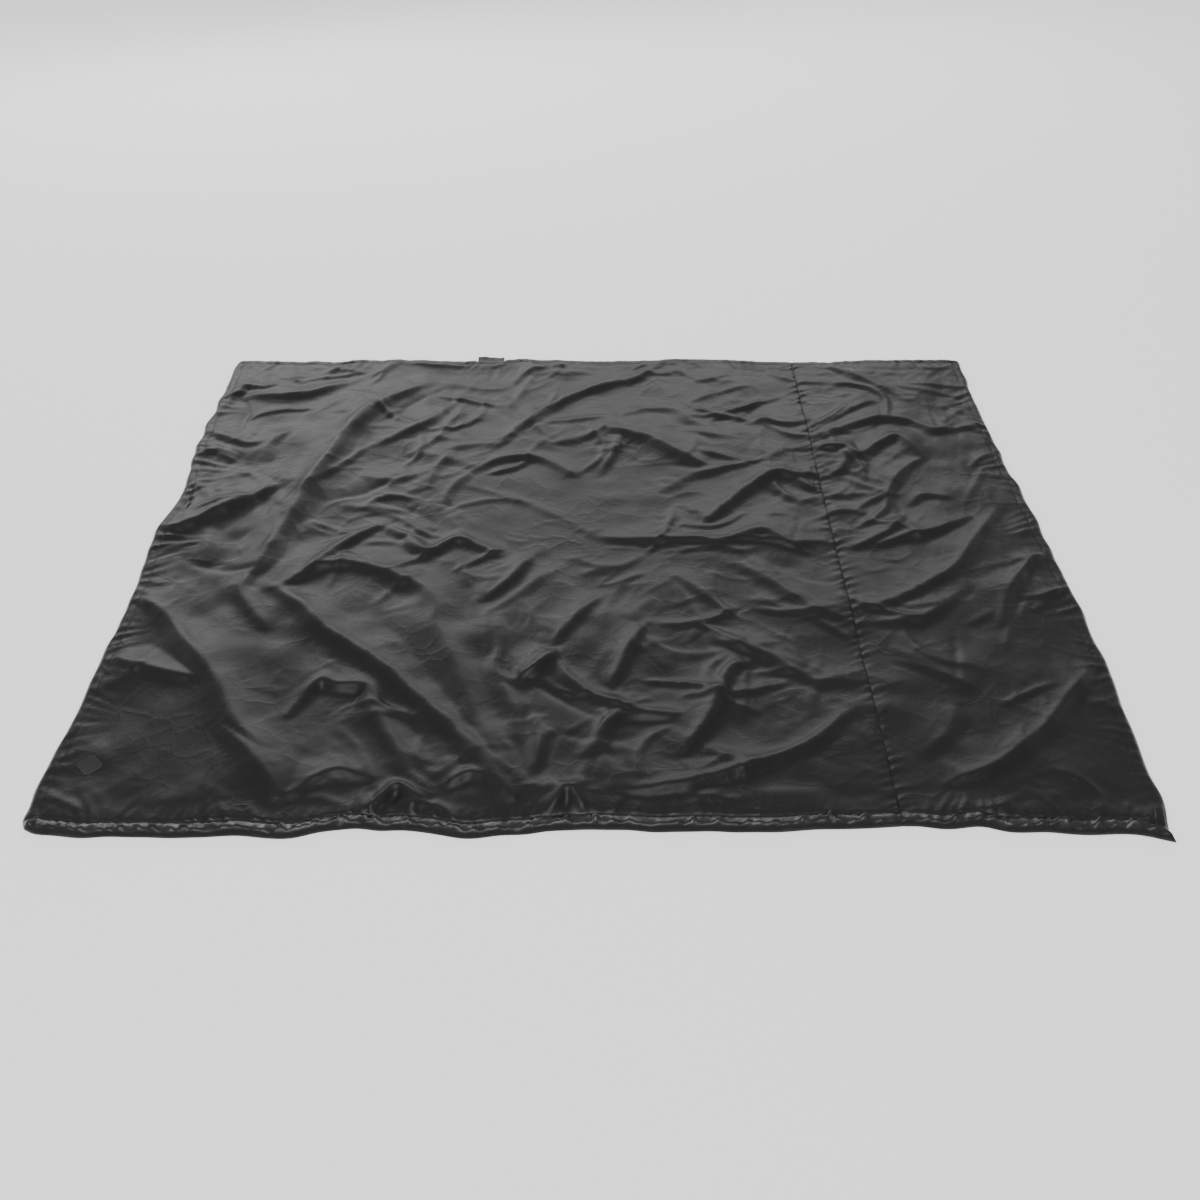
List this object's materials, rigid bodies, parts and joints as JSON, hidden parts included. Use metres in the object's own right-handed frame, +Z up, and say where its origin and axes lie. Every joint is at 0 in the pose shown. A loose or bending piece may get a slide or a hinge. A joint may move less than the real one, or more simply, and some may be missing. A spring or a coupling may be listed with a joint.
{
  "type": "camp quilt",
  "caption": "Rectangular insulated camp quilt lying flat, a wide main panel and a narrow side panel sewn together along one seam, with a topstitched hem all round and a small label.",
  "frame": {"origin": "on the ground under the middle of the quilt, on the flat underside of the lining", "axes": "+X to the right along the longer side, towards the narrow side panel; +Y from the front edge to the rear edge, where the care label is; +Z up"},
  "size_m": [1.93, 1.6523, 0.0316],
  "materials": {
    "cover": "satin calendered nylon, charcoal",
    "lining": "soft matt nylon, charcoal",
    "batt": "white polyester fibre batt",
    "thread": "spun polyester thread, black",
    "emblem": "woven twill patch, grey",
    "label": "satin ribbon, blank, black"
  },
  "bodies": {
    "main": {"cover_main": "cover", "batt_main": "batt", "lining_main": "lining", "left_hem_thread": "thread", "left_hem_under_thread": "thread", "front_hem_thread_main": "thread", "front_hem_under_thread_main": "thread", "rear_hem_thread_main": "thread", "rear_hem_under_thread_main": "thread", "join_thread": "thread", "join_under_thread": "thread", "emblem_patch": "emblem", "emblem_border": "thread"},
    "side": {"cover_side": "cover", "batt_side": "batt", "lining_side": "lining", "right_hem_thread": "thread", "right_hem_under_thread": "thread", "front_hem_thread_side": "thread", "front_hem_under_thread_side": "thread", "rear_hem_thread_side": "thread", "rear_hem_under_thread_side": "thread"},
    "label": {"care_label": "label"}
  },
  "joints": [
    {"name": "side_panel_fold", "type": "hinge", "parent": "main", "child": "side", "pos_m": [0.51, 0, 0.0325], "axis": [0, -1, 0], "range_deg": [0, 175]},
    {"name": "care_label_flap", "type": "hinge", "parent": "main", "child": "label", "pos_m": [-0.292, 0.8158, 0.00075], "axis": [1, 0, 0], "range_deg": [0, 120]}
  ]
}
